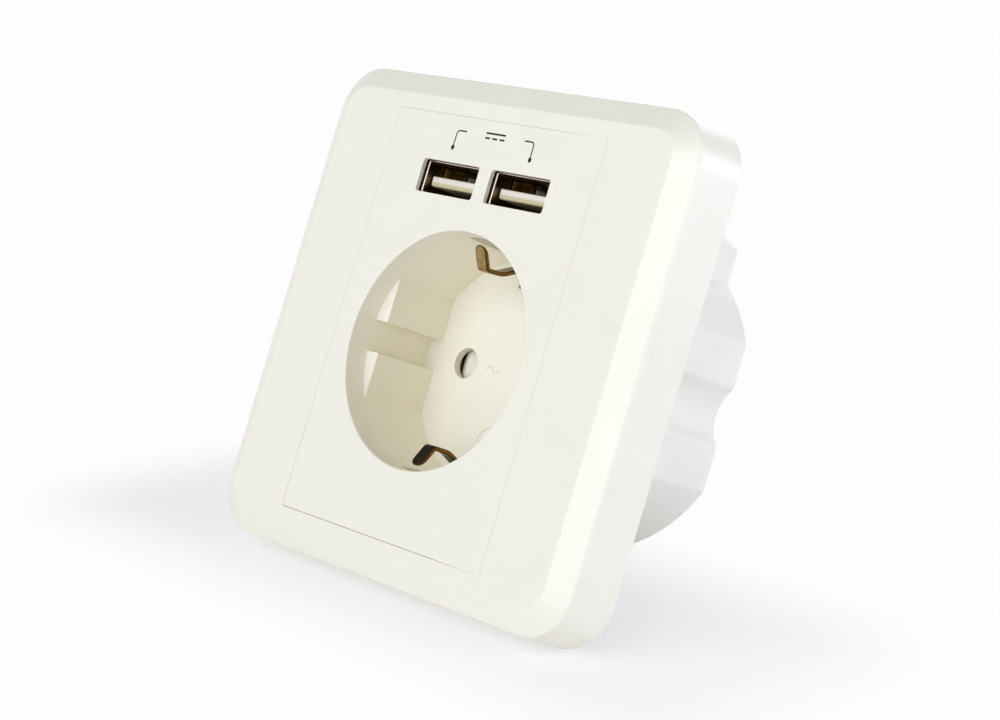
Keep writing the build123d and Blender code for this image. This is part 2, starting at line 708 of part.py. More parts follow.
# USB ports: sheet shell, plastic tongue and four contact blades in each
for side, x in (("left", -usb_pitch / 2), ("right", usb_pitch / 2)):
    with BuildPart() as usb_shell:
        with BuildSketch(wall_plane(shell_y)):
            with Locations((x, usb_z)):
                RectangleRounded(shell_w, shell_h, shell_corner_r)
                RectangleRounded(
                    usb_inner_w, usb_inner_h, shell_corner_r - usb_sheet, mode=Mode.SUBTRACT
                )
        extrude(amount=-usb_length)
        with BuildSketch(Plane.XY.offset(usb_z)):
            with Locations((x - leg_x, leg_y), (x + leg_x, leg_y)):
                Rectangle(usb_sheet, leg_w)
        extrude(amount=-(usb_z - board_z + leg_stand))
    usb_shell.part.label = f"usb_shell_{side}"
    export_step(usb_shell.part, f"parts/usb_shell_{side}.step")

    pins_x = [x + usb_pin_pitch * step for step in (-1.5, -0.5, 0.5, 1.5)]
    with BuildPart() as usb_tongue:
        with BuildSketch(wall_plane(shell_end_y)):
            with Locations((x, usb_z)):
                RectangleRounded(usb_inner_w, usb_inner_h, shell_corner_r)
        extrude(amount=tongue_base)
        with BuildSketch(wall_plane(tongue_y)):
            with Locations((x, tongue_z)):
                blade = Rectangle(tongue_w, tongue_t)
            fillet(blade.vertices().group_by(Axis.Y)[0], tongue_corner_r)
        extrude(amount=-(shell_end_y - tongue_y))
        tip_edges = usb_tongue.faces().sort_by(Axis.Y)[0].edges()
        chamfer(tip_edges, tongue_tip_chamfer)
        with BuildSketch(wall_plane(tongue_y + usb_pin_inset)):
            with Locations(*[(pin, usb_pin_z + usb_pin_t / 2) for pin in pins_x]):
                Rectangle(usb_pin_w, usb_pin_t)
        extrude(amount=-(shell_end_y - tongue_y - usb_pin_inset), mode=Mode.SUBTRACT)
    usb_tongue.part.label = f"usb_tongue_{side}"
    export_step(usb_tongue.part, f"parts/usb_tongue_{side}.step")

    for number, pin in enumerate(pins_x, start=1):
        with BuildPart() as usb_pin:
            with BuildSketch(Plane.YZ.offset(pin)):
                with BuildLine():
                    FilletPolyline(
                        (tongue_y + usb_pin_inset, usb_pin_z),
                        (shell_end_y + usb_pin_tail, usb_pin_z),
                        (shell_end_y + usb_pin_tail, board_top),
                        radius=usb_pin_t,
                    )
                    offset(amount=usb_pin_t, side=Side.LEFT)
                make_face()
            extrude(amount=usb_pin_w / 2, both=True)
        usb_pin.part.label = f"usb_pin_{side}_{number}"
        export_step(usb_pin.part, f"parts/usb_pin_{side}_{number}.step")

# Transformer: ferrite core with two windows, and the winding round its middle leg
with BuildPart() as transformer_core:
    with BuildSketch(wall_plane(core_y)):
        with Locations((0, board_top + core_h / 2)):
            Rectangle(core_w, core_h)
        window_x = (core_leg + core_window_w) / 2
        with Locations((-window_x, board_top + core_h / 2), (window_x, board_top + core_h / 2)):
            Rectangle(core_window_w, core_h - 2 * core_yoke_h, mode=Mode.SUBTRACT)
    extrude(amount=-core_t)
transformer_core.part.label = "transformer_core"
export_step(transformer_core.part, "parts/transformer_core.step")

with BuildPart() as transformer_winding:
    with BuildSketch(Plane.XY.offset(board_top + core_yoke_h + part_clear)):
        with Locations((0, core_y + core_t / 2)):
            RectangleRounded(
                core_leg + 2 * (core_window_w - part_clear),
                core_t + 2 * winding_overhang,
                core_window_w / 2,
            )
            Rectangle(
                core_leg + 2 * part_clear, core_t + 2 * part_clear, mode=Mode.SUBTRACT
            )
    extrude(amount=core_h - 2 * core_yoke_h - 2 * part_clear)
transformer_winding.part.label = "transformer_winding"
export_step(transformer_winding.part, "parts/transformer_winding.step")

# Capacitors: crimped cans that lie on the board on each side of the transformer
for label, x in (("input_capacitor", -capacitor_spread), ("output_capacitor", capacitor_spread)):
    with BuildPart() as capacitor:
        with BuildSketch(wall_plane(capacitor_y)):
            with Locations((x, board_top + capacitor_r)):
                Circle(capacitor_r)
        extrude(amount=-capacitor_length)
        with BuildSketch(wall_plane(capacitor_y + capacitor_crimp)):
            with Locations((x, board_top + capacitor_r)):
                Circle(capacitor_r)
                Circle(capacitor_r - crimp_depth, mode=Mode.SUBTRACT)
        extrude(amount=-crimp_w, mode=Mode.SUBTRACT)
    capacitor.part.label = label
    export_step(capacitor.part, f"parts/{label}.step")

# Rectifier and controller: moulded packages that stand on their leads
for label, x in (("rectifier", -chip_spread), ("controller_chip", chip_spread)):
    with BuildPart() as chip:
        with BuildSketch(Plane.XY.offset(board_top + chip_stand)):
            with Locations((x, chip_y)):
                Rectangle(chip_w, chip_l)
        extrude(amount=chip_h)
        chamfer(chip.faces().sort_by(Axis.Z)[-1].edges(), chip_stand)
        with BuildSketch(Plane.XY.offset(board_top)):
            for lead in (-1.5, -0.5, 0.5, 1.5):
                with Locations((x + lead * chip_lead_pitch, chip_y)):
                    Rectangle(chip_lead_w, chip_l + 2 * chip_lead_reach)
        extrude(amount=chip_stand)
    chip.part.label = label
    export_step(chip.part, f"parts/{label}.step")

# Fuse resistor: capped body on the mains side of the board
with BuildPart() as fuse_resistor:
    with BuildSketch(wall_plane(fuse_y)):
        with Locations((-fuse_x, board_top + fuse_r)):
            Circle(fuse_r)
    extrude(amount=-fuse_length)
    with BuildSketch(wall_plane(fuse_y + fuse_cap)):
        with Locations((-fuse_x, board_top + fuse_r)):
            Circle(fuse_r)
            Circle(fuse_r - crimp_depth, mode=Mode.SUBTRACT)
    extrude(amount=-(fuse_length - 2 * fuse_cap), mode=Mode.SUBTRACT)
fuse_resistor.part.label = "fuse_resistor"
export_step(fuse_resistor.part, "parts/fuse_resistor.step")

# Supply leads: from the mains contacts up through the board, with a bead of solder
for label, x in (("supply_lead_line", -pin_x), ("supply_lead_neutral", pin_x)):
    with BuildPart() as supply_lead:
        with BuildSketch(Plane.XY.offset(lead_tab_z)):
            with Locations((x, lead_y)):
                Circle(lead_r)
        extrude(amount=board_top + solder_h - lead_tab_z)
        with BuildSketch(Plane.XY.offset(board_top)):
            with Locations((x, lead_y)):
                Circle(lead_r + solder_rim)
        extrude(amount=solder_h, taper=solder_taper)
    supply_lead.part.label = label
    export_step(supply_lead.part, f"parts/{label}.step")
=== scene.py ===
# %% [markdown]
# A flush wall socket with a round plug well and two USB ports, leaning on a white table
# before it is built into a wall. The solids come from CAD in metres and already in place, so
# none of them is moved here. This lesson gives them their finishes, adds the print, the
# moulded marks and the small springs in the ports, lights them, and sets the camera where
# the photographer stood.

import math

import bmesh
import bpy
from mathutils import Matrix, Vector


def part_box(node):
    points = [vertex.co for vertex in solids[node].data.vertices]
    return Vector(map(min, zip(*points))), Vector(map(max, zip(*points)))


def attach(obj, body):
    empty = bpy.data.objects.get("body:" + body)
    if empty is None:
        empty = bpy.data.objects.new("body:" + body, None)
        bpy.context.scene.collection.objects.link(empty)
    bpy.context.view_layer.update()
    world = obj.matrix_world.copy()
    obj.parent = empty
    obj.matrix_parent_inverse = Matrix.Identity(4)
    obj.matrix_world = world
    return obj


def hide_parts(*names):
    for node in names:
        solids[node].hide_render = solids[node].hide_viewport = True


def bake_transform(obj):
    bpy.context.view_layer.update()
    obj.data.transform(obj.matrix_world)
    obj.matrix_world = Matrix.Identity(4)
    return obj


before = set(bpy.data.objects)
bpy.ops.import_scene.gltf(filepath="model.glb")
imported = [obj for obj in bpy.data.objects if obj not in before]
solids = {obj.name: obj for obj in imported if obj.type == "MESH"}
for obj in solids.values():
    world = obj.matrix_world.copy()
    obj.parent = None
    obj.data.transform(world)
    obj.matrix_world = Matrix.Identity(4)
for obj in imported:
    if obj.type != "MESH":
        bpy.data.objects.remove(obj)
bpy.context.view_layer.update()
print("CAD pieces:", len(solids))

# %% [markdown]
# Colours are easiest to read off a photograph as sRGB hex values, but shaders work in linear
# light. One function does the change, so every colour below stays in the form that a paint
# chart or a colour picker would give.


# %% Colour
def linear(hex_colour):
    """sRGB hex, such as 'F0EDE0', as the linear RGBA that shader sockets take."""
    channels = [int(hex_colour[i : i + 2], 16) / 255 for i in (0, 2, 4)]
    light = [c / 12.92 if c <= 0.04045 else ((c + 0.055) / 1.055) ** 2.4 for c in channels]
    return (*light, 1.0)


print("mid grey in linear light:", round(linear("808080")[0], 3))

# %% [markdown]
# A finish is a small tree of shader nodes. Blender's own calls need several lines for each
# node, so one helper makes a node, fills in its settings and joins its inputs. The inputs go
# in one dictionary: a number or a colour is set, and an output socket is linked.

# %% Shader helpers
MM = 0.001


def add_node(owner, kind, inputs=None, **settings):
    """Adds one node to a material or a world. Settings are its properties, inputs its sockets."""
    made = owner.node_tree.nodes.new(kind)
    for name, value in settings.items():
        setattr(made, name, value)
    for name, value in (inputs or {}).items():
        if isinstance(value, bpy.types.NodeSocket):
            owner.node_tree.links.new(value, made.inputs[name])
        else:
            made.inputs[name].default_value = value
    return made


def start_finish(name, **sockets):
    """A new material with its Principled shader, whose even values are set on the sockets."""
    material = bpy.data.materials.new(name)
    material.use_nodes = True
    shader = material.node_tree.nodes["Principled BSDF"]
    for socket, value in sockets.items():
        shader.inputs[socket].default_value = value
    return material, shader


print("a millimetre in Blender's metres:", MM)

# %% [markdown]
# The frame and the plate are injection-moulded ABS in cream white. ABS has an IOR of 1.54
# and comes out of a polished tool with an even, fairly glossy skin. To the eye that is a
# clean pale colour with soft highlights along the rounded edges, a very faint cloudiness
# where the melt cooled unevenly, and a fine tooth that breaks up the highlight. The tooth is
# really about 0.05 mm, so it is drawn at about 0.3 mm to show at all. The other plastics
# differ in colour and in how matt their tool was: the housing's polycarbonate is a satin
# white, the carrier's polyamide is greyer and matt, the shutter's acetal is a waxy cream and
# the polyester of the USB tongues is a dull white.

# %% Moulded plastics
PLASTIC_IOR = 1.54
CLOUD_MM = 14
CREAM = ("F3EEDF", "F1ECDC")


def moulded_plastic(name, colour, cloud, roughness, tooth_mm, tooth_um):
    """Thermoplastic from a tool: cloud is the hex colour of its slightly different patches."""
    material, shader = start_finish(name, IOR=PLASTIC_IOR, Roughness=roughness)
    place = add_node(material, "ShaderNodeTexCoord").outputs["Object"]
    patches = add_node(
        material,
        "ShaderNodeTexNoise",
        {"Vector": place, "Scale": 1 / (CLOUD_MM * MM), "Detail": 3.0, "Roughness": 0.55},
    )
    spread = add_node(
        material,
        "ShaderNodeMapRange",
        {"Value": patches.outputs["Fac"], "From Min": 0.35, "From Max": 0.65},
    )
    tint = add_node(
        material,
        "ShaderNodeMix",
        {"Factor": spread.outputs["Result"], "A": linear(colour), "B": linear(cloud)},
        data_type="RGBA",
    )
    material.node_tree.links.new(tint.outputs["Result"], shader.inputs["Base Color"])
    tooth = add_node(
        material,
        "ShaderNodeTexNoise",
        {"Vector": place, "Scale": 1 / (tooth_mm * MM), "Detail": 2.0, "Roughness": 0.5},
    )
    relief = add_node(
        material,
        "ShaderNodeBump",
        {"Height": tooth.outputs["Fac"], "Distance": tooth_um * 1e-6, "Strength": 1.0},
    )
    material.node_tree.links.new(relief.outputs["Normal"], shader.inputs["Normal"])
    return material


cream_abs = moulded_plastic("cream_abs_moulded_glossy", *CREAM, 0.27, 0.3, 0.3)
plate_abs = moulded_plastic("cream_abs_with_painted_bounce_light", *CREAM, 0.27, 0.3, 0.3)
joint_abs = moulded_plastic("cream_abs_brown_joint", *CREAM, 0.4, 0.3, 0.3)
housing_pc = moulded_plastic("white_polycarbonate_moulded", "F5F1E6", "F1EDE1", 0.42, 0.35, 4)
carrier_pa = moulded_plastic("natural_polyamide_moulded", "DDDACB", "D6D2C0", 0.5, 0.4, 10)
shutter_pom = moulded_plastic("cream_acetal_moulded", "F0E9D8", "ECE4D0", 0.36, 0.3, 4)
tongue_pbt = moulded_plastic("white_polyester_moulded_with_painted_shade", "F2EADF", "EDE4D6", 0.4, 0.2, 2)
plastics = (cream_abs, plate_abs, joint_abs, housing_pc, carrier_pa, shutter_pom, tongue_pbt)
print("moulded plastics:", [plastic.name for plastic in plastics])

# %% [markdown]
# Some surfaces need a second colour in one place, such as a stain, a cut edge or a shaded
# side. Rather than a new material, the shader's own colour is taken off its socket, mixed
# with the second colour by a mask and put back. The masks are made from where a point lies
# on the piece and which way it faces, so they hold from every side.


# %% Second colours
def second_colour(material, mask, hex_colour):
    """Mixes another colour into a finish. mask is a socket: 0 keeps the first, 1 gives it."""
    shader = material.node_tree.nodes["Principled BSDF"]
    first = shader.inputs["Base Color"].links[0].from_socket
    both = add_node(
        material,
        "ShaderNodeMix",
        {"Factor": mask, "A": first, "B": linear(hex_colour)},
        data_type="RGBA",
    )
    material.node_tree.links.new(both.outputs["Result"], shader.inputs["Base Color"])


def axis_of(material, kind, axis):
    """One axis of a point's place ('Object', in metres) or of its 'Normal'."""
    place = add_node(material, "ShaderNodeTexCoord").outputs[kind]
    return add_node(material, "ShaderNodeSeparateXYZ", {0: place}).outputs[axis]


print("helpers for a second colour:", second_colour.__name__, "and", axis_of.__name__)

# %% [markdown]
# The same cream runs through the whole plate, but in the well the light bounces from wall to
# wall and takes on more of the resin's yellow each time. The lamps alone left the walls
# duller than the photograph shows, so the faces that look sideways and lie behind the front
# get a slightly lighter and warmer cream, which is painted bounce light. It comes in over the
# first few millimetres.

# %% Painted bounce light on the walls of the well
WALL_FROM_MM = 0.3
WALL_FULL_MM = 5.0
FLOOR_FACING = 0.9
WALL_FACING = 0.4
front_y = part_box("centre_plate")[0].y / MM
wall_depth = add_node(
    plate_abs,
    "ShaderNodeMapRange",
    {
        "Value": axis_of(plate_abs, "Object", "Y"),
        "From Min": (front_y + WALL_FROM_MM) * MM,
        "From Max": (front_y + WALL_FULL_MM) * MM,
    },
)
wall_facing = add_node(
    plate_abs, "ShaderNodeMath", {0: axis_of(plate_abs, "Normal", "Y")}, operation="ABSOLUTE"
)
wall_painted_bounce_mask = add_node(
    plate_abs,
    "ShaderNodeMapRange",
    {
        "Value": wall_facing.outputs["Value"],
        "From Min": FLOOR_FACING,
        "From Max": WALL_FACING,
        "To Max": wall_depth.outputs["Result"],
    },
)
# Painted bounce light: the sideways faces deep in the well get a lighter, warmer cream.
second_colour(plate_abs, wall_painted_bounce_mask.outputs["Result"], "FAF3DD")
print("front of the plate at y =", round(front_y, 2), "mm")

# %% [markdown]
# The USB tongues are whiter on top and creamier towards their underside, which is painted
# shade. The change of colour follows the height, measured down from the middle of the port.

# %% Painted shade on the undersides of the tongues
SHELL_HALF_MM = 2.9
WHITE_TO_MM = 0.35
CREAMY_FROM_MM = 0.7
port_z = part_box("usb_shell_left")[1].z - SHELL_HALF_MM * MM
tongue_painted_shade_mask = add_node(
    tongue_pbt,
    "ShaderNodeMapRange",
    {
        "Value": axis_of(tongue_pbt, "Object", "Z"),
        "From Min": port_z - WHITE_TO_MM * MM,
        "From Max": port_z - CREAMY_FROM_MM * MM,
    },
)
# Painted shade: the tongue turns creamier towards its underside.
second_colour(tongue_pbt, tongue_painted_shade_mask.outputs["Result"], "D2C69E")
print("middle of the ports at z =", round(port_z / MM, 2), "mm")

# %% [markdown]
# Metals keep the default IOR: with metallic at 1 the base colour is the reflection itself.
# Rolled strip and plated sheet carry fine lines from the rolls, so a noise that is stretched
# along one axis drives the roughness. The real lines are a few hundredths of a millimetre
# apart and are drawn at about 0.15 mm to show. Tarnish comes in spots of a few millimetres.
# To the eye brass is a warm yellow, zinc plate a cool pale grey, spring steel a darker grey,
# phosphor bronze browner than brass, a gold flash richer, and tinned copper pale and warm.

# %% Metals
RUN_STRETCH = 0.06
GLOSS_SWING = 0.08


def rolled_metal(name, colour, stain, roughness, line_mm, run_axis, spot_mm=3.0):
    """Sheet or strip: stain is its darker tarnish, run_axis the way it went through the rolls."""
    material, shader = start_finish(name, Metallic=1.0)
    place = add_node(material, "ShaderNodeTexCoord").outputs["Object"]
    stretch = [1.0, 1.0, 1.0]
    stretch["XYZ".index(run_axis)] = RUN_STRETCH
    along = add_node(material, "ShaderNodeMapping", {"Vector": place, "Scale": stretch})
    lines = add_node(
        material,
        "ShaderNodeTexNoise",
        {"Vector": along.outputs["Vector"], "Scale": 1 / (line_mm * MM), "Detail": 2.0},
    )
    spots = add_node(
        material,
        "ShaderNodeTexNoise",
        {"Vector": place, "Scale": 1 / (spot_mm * MM), "Detail": 4.0},
    )
    dull = add_node(
        material,
        "ShaderNodeMapRange",
        {"Value": spots.outputs["Fac"], "From Min": 0.4, "From Max": 0.75},
    )
    tint = add_node(
        material,
        "ShaderNodeMix",
        {"Factor": dull.outputs["Result"], "A": linear(colour), "B": linear(stain)},
        data_type="RGBA",
    )
    material.node_tree.links.new(tint.outputs["Result"], shader.inputs["Base Color"])
    gloss = add_node(
        material,
        "ShaderNodeMapRange",
        {
            "Value": lines.outputs["Fac"],
            "From Min": 0.3,
            "From Max": 0.7,
            "To Min": roughness - GLOSS_SWING,
            "To Max": roughness + GLOSS_SWING,
        },
    )
    material.node_tree.links.new(gloss.outputs["Result"], shader.inputs["Roughness"])
    return material


brass = rolled_metal("brass_strip_stamped", "C9A565", "8A6A38", 0.32, 0.15, "Y")
zinc_sheet = rolled_metal("zinc_plated_steel_sheet", "C6C9CC", "B6B9B9", 0.36, 0.2, "Z")
zinc_screw = rolled_metal("zinc_plated_steel_screw", "C2C5C8", "9D9C97", 0.3, 0.15, "Y")
spring_steel = rolled_metal("bright_spring_steel_strip", "A9ABAE", "83848A", 0.25, 0.12, "X")
# Painted shade: the shells are a dark olive for the shade in the ports; their rims get a painted
# highlight.
port_shell_painted_shade = rolled_metal("nickel_plated_steel_sheet_painted_shade", "7E6B48", "54442A", 0.3, 0.12, "Y")
shell_rim_painted_highlight = rolled_metal("nickel_plated_steel_edge_painted_highlight", "E8DACB", "C9B59C", 0.3, 0.12, "Y")
finger_bronze = rolled_metal("phosphor_bronze_spring_strip", "8E6A30", "5E441C", 0.42, 0.12, "Y")
gold_flash = rolled_metal("gold_flashed_bronze_blade", "D9B565", "B38B43", 0.28, 0.1, "Y")
tinned_copper = rolled_metal("tinned_copper_wire", "C9C2B8", "A8988A", 0.3, 0.15, "Z")
plated = (zinc_sheet, zinc_screw, port_shell_painted_shade, shell_rim_painted_highlight, gold_flash, tinned_copper)
print("plated metals:", [metal.name for metal in plated])
print("bare metals:", [metal.name for metal in (brass, spring_steel, finger_bronze)])

# %% [markdown]
# The earth bracket shows its brass in the open. Its rolled faces have gone olive, its sheared
# edges are browner because the torn metal tarnishes first, and it darkens towards the bottom,
# to nearly black at the lower clip. The edge mask is the part of the normal that points to the
# sides, and the darkening follows the height on the bracket. Its rounded corners have a dark
# finish of their own, which is a painted dark reflection. The USB shells are a dark olive
# inside, which is painted shade; their faces towards the room carry painted light, and their
# rounded front edges a painted highlight.

# %% Tarnished brass, painted shade and painted highlights
FINE_SPOT_MM = 0.8
DARK_FROM_MM = 4
DARK_FULL_MM = -14
tarnished_brass = rolled_metal(
    "brass_strip_stamped_tarnished", "A58C5C", "77623A", 0.32, 0.15, "Z", FINE_SPOT_MM
)
darker_low = add_node(
    tarnished_brass,
    "ShaderNodeMapRange",
    {
        "Value": axis_of(tarnished_brass, "Object", "Z"),
        "From Min": DARK_FROM_MM * MM,
        "From Max": DARK_FULL_MM * MM,
    },
)
second_colour(tarnished_brass, darker_low.outputs["Result"], "1E1A10")
sideways = add_node(
    tarnished_brass,
    "ShaderNodeMath",
    {0: axis_of(tarnished_brass, "Normal", "X")},
    operation="ABSOLUTE",
)
sheared = add_node(
    tarnished_brass,
    "ShaderNodeMapRange",
    {"Value": sideways.outputs["Value"], "From Min": 0.3, "From Max": 0.8},
)
second_colour(tarnished_brass, sheared.outputs["Result"], "84602C")
# Painted light: the shells' faces towards the room are lighter.
room_facing_painted_light = add_node(
    port_shell_painted_shade,
    "ShaderNodeMapRange",
    {"Value": axis_of(port_shell_painted_shade, "Normal", "Y"), "From Min": -0.6, "From Max": -0.9},
)
second_colour(port_shell_painted_shade, room_facing_painted_light.outputs["Result"], "A8906A")
# Painted dark reflection on the bracket's rounded corners.
bracket_edge_painted_dark = rolled_metal(
    "brass_strip_edge_painted_dark", "4A3616", "2A1D0A", 0.4, 0.15, "Y", FINE_SPOT_MM
)
print("tarnished brass nodes:", len(tarnished_brass.node_tree.nodes))

# %% [markdown]
# What stays inside the housing is plainer, but it can be seen when the part is taken apart:
# green solder mask over glass cloth, ground ferrite, yellow polyester tape in turns, black
# shrink sleeve, black epoxy and a dipped lacquer. Each is one Principled shader with the
# pattern that gives it away. The pad-printed ink of the front is made the same way: it is
# slightly thinner in places, which leaves it a soft black. So is the matt black of the rings
# in the ports, which are painted shade.

# %% Charger finishes, ink and painted shade
COATING_IOR = 1.5
NOISE = "ShaderNodeTexNoise"
CHECKER = "ShaderNodeTexChecker"
WAVE = "ShaderNodeTexWave"


def patterned(name, colour, other, roughness, texture, scale_mm, **texture_settings):
    """One base colour broken up by one texture towards another colour."""
    material, shader = start_finish(name, IOR=COATING_IOR, Roughness=roughness)
    place = add_node(material, "ShaderNodeTexCoord").outputs["Object"]
    pattern = add_node(
        material, texture, {"Vector": place, "Scale": 1 / (scale_mm * MM)}, **texture_settings
    )
    tint = add_node(
        material,
        "ShaderNodeMix",
        {"Factor": pattern.outputs[0], "A": linear(colour), "B": linear(other)},
        data_type="RGBA",
    )
    material.node_tree.links.new(tint.outputs["Result"], shader.inputs["Base Color"])
    return material


solder_mask = patterned("green_solder_mask_coated", "1E5B38", "2A6E45", 0.35, CHECKER, 0.8)
ferrite = patterned("ferrite_ground", "2B2B2D", "38383A", 0.6, NOISE, 0.5)
winding_tape = patterned(
    "yellow_polyester_tape_wound", "D9B83A", "C39F2A", 0.3, WAVE, 3.0, bands_direction="Z"
)
shrink_sleeve = patterned("black_shrink_sleeve", "1B1C22", "26272E", 0.3, NOISE, 1.5)
black_epoxy = patterned("black_epoxy_moulded", "161616", "202020", 0.55, NOISE, 0.4)
fuse_lacquer = patterned("blue_grey_lacquer_dipped", "5C7C8C", "4C6A7A", 0.3, NOISE, 0.8)
ink = patterned("black_ink_pad_printed", "0C0B0A", "141312", 0.8, NOISE, 0.4)
# Painted shade: a matt black for the rings in the gaps round the ports.
shade_ring_black = patterned("matt_black_painted_shade", "0E0D0C", "1A1815", 0.9, NOISE, 0.15)
coatings = (solder_mask, winding_tape, shrink_sleeve, fuse_lacquer, ink)
print("coatings and tape:", [coating.name for coating in coatings])
print("solid through:", [solid.name for solid in (ferrite, black_epoxy, shade_ring_black)])

# %% [markdown]
# The CAD solids already have the right shapes, so they stay and only take a finish. One list
# says which finish each solid takes and how far its sharp edges are rounded, in millimetres:
# a moulding or a washed stamping has softer edges than a sheared blade.

# %% Which finish goes where
SIDES = ("left", "right")
finishes = {
    "outer_frame": (cream_abs, 0.12),
    "centre_plate": (plate_abs, 0.1),
    "rear_housing": (housing_pc, 0.15),
    "mounting_yoke": (zinc_sheet, 0.12),
    "housing_screws": (zinc_screw, 0.1),
    "contact_carrier": (carrier_pa, 0.1),
    "line_contact": (brass, 0.06),
    "neutral_contact": (brass, 0.06),
    "earth_bracket": (tarnished_brass, 0.16),
    "shutter": (shutter_pom, 0.12),
    "shutter_spring": (spring_steel, 0.03),
    "line_clamp": (zinc_sheet, 0.1),
    "neutral_clamp": (zinc_sheet, 0.1),
    "earth_clamp": (zinc_sheet, 0.1),
    "terminal_screws": (zinc_screw, 0.1),
    "charger_board": (solder_mask, 0.05),
    "transformer_core": (ferrite, 0.1),
    "transformer_winding": (winding_tape, 0.15),
    "input_capacitor": (shrink_sleeve, 0.1),
    "output_capacitor": (shrink_sleeve, 0.1),
    "rectifier": (black_epoxy, 0.06),
    "controller_chip": (black_epoxy, 0.06),
    "fuse_resistor": (fuse_lacquer, 0.1),
    "supply_lead_line": (tinned_copper, 0.03),
    "supply_lead_neutral": (tinned_copper, 0.03),
}
# Edges with a painted dark reflection or a painted highlight.
edge_finishes = {"earth_bracket": bracket_edge_painted_dark}
for label in SIDES:
    finishes[f"usb_shell_{label}"] = (port_shell_painted_shade, 0.13)
    edge_finishes[f"usb_shell_{label}"] = shell_rim_painted_highlight
    finishes[f"usb_tongue_{label}"] = (tongue_pbt, 0.06)
    for number in range(1, 5):
        finishes[f"usb_pin_{label}_{number}"] = (gold_flash, 0.03)
print("solids without a finish:", sorted(set(solids) - set(finishes)))

# %% [markdown]
# The meshes of the solids come in with every flat cut loose at its edges. A Weld modifier
# joins them, a Bevel modifier rounds what is sharp as a mould, a press or a wash would, so
# that edges catch a line of light, and Weighted Normals keep the flats flat. Modifiers leave
# the CAD mesh as it was. The Bevel modifier can also give its faces the next material slot:
# that draws the painted dark reflection on the bracket's corners and the painted highlight on
# the rims of the shells.

# %% Dress the solids
WELD_MM = 0.001
SHARP_DEGREES = 35


def soften(piece, edge_mm, edge_finish=None):
    """Joins loose edges, rounds sharp ones and keeps flats flat, all as modifiers. The rounded
    edges take a finish of their own where one is given."""
    weld = piece.modifiers.new("join", "WELD")
    weld.merge_threshold = WELD_MM * MM
    edges = piece.modifiers.new("edges", "BEVEL")
    edges.width = edge_mm * MM
    edges.segments = 2
    edges.limit_method = "ANGLE"
    edges.angle_limit = math.radians(SHARP_DEGREES)
    if edge_finish:
        edges.use_clamp_overlap = False
        piece.data.materials.append(edge_finish)
        edges.material = len(piece.data.materials) - 1
    flats = piece.modifiers.new("flats", "WEIGHTED_NORMAL")
    flats.keep_sharp = True


for name, (finish, edge_mm) in finishes.items():
    solids[name].data.materials.clear()
    solids[name].data.materials.append(finish)
    soften(solids[name], edge_mm, edge_finishes.get(name))
print("dressed:", len(finishes), "of", len(solids))

# %% [markdown]
# The shutter spring is a V-shaped leaf that closes as the shutter comes towards it. A rigid
# leaf would run into the shutter. A copy of it stands for the CAD solid, which is hidden.

# %% Shutter spring
spring_leaf = bpy.data.objects.new("shutter_spring_leaf", solids["shutter_spring"].data.copy())
bpy.context.scene.collection.objects.link(spring_leaf)
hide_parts("shutter_spring")
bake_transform(spring_leaf)

# %% [markdown]
# The print, the moulded marks and the springs in the ports are all bars of an oblong section
# that follow a path. A curve with a bevel could draw them, but a short mesh routine gives
# square ends and mitred corners. At each point it sets four corners, turned half-way between
# the runs on either side. Every piece that is added this way is fixed to the socket.

# %% Bars along a path
TO_THE_ROOM = (0, -1, 0)
TO_THE_RIGHT = (1, 0, 0)
UPWARDS = (0, 0, 1)


def socket_piece(name, edit, finish):
    """Makes an edited mesh into a piece with one finish that rides on the socket."""
    bmesh.ops.recalc_face_normals(edit, faces=edit.faces)
    mesh = bpy.data.meshes.new(name)
    edit.to_mesh(mesh)
    edit.free()
    mesh.materials.append(finish)
    piece = bpy.data.objects.new(name, mesh)
    bpy.context.scene.collection.objects.link(piece)
    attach(piece, "socket")
    return piece


def bar(name, path_mm, level, level_mm, across_mm, finish, closed=False):
    """A bar through points in millimetres. level is a direction square to the path, level_mm
    the bar's size that way and across_mm its size the third way."""
    points = [Vector(point) * MM for point in path_mm]
    level = Vector(level)
    edit = bmesh.new()
    rings = []
    for i, point in enumerate(points):
        runs = []
        if closed or i > 0:
            runs.append((point - points[i - 1]).normalized())
        if closed or i < len(points) - 1:
            runs.append((points[(i + 1) % len(points)] - point).normalized())
        beside = sum((level.cross(run) for run in runs), Vector()) / len(runs)
        half = beside / beside.length_squared * across_mm * MM / 2
        lift = level * level_mm * MM / 2
        corners = (
            point - half - lift,
            point + half - lift,
            point + half + lift,
            point - half + lift,
        )
        rings.append([edit.verts.new(corner) for corner in corners])
    pairs = list(zip(rings, rings[1:]))
    if closed:
        pairs.append((rings[-1], rings[0]))
    for here, there in pairs:
        for i in range(4):
            edit.faces.new((here[i], here[i - 1], there[i - 1], there[i]))
    if not closed:
        edit.faces.new(rings[0])
        edit.faces.new(rings[-1])
    return socket_piece(name, edit, finish)


def arc(centre, radius, start, end, steps):
    """Points (x, z) on part of a circle, with its ends in degrees from +x towards +z."""
    angles = [math.radians(start + (end - start) * i / steps) for i in range(steps + 1)]
    return [(centre[0] + radius * math.cos(a), centre[1] + radius * math.sin(a)) for a in angles]


print("quarter turn of 1 mm:", [(round(x, 2), round(z, 2)) for x, z in arc((0, 0), 1, 0, 90, 2)])

# %% [markdown]
# The plate snaps into the frame's window. Left open, the gap would be a black line all round.
# A thin lip on the plate's side closes it just under the surface, so from the room the joint
# is a hairline. The lip lies a little deeper at the lower left, where the line is strongest.

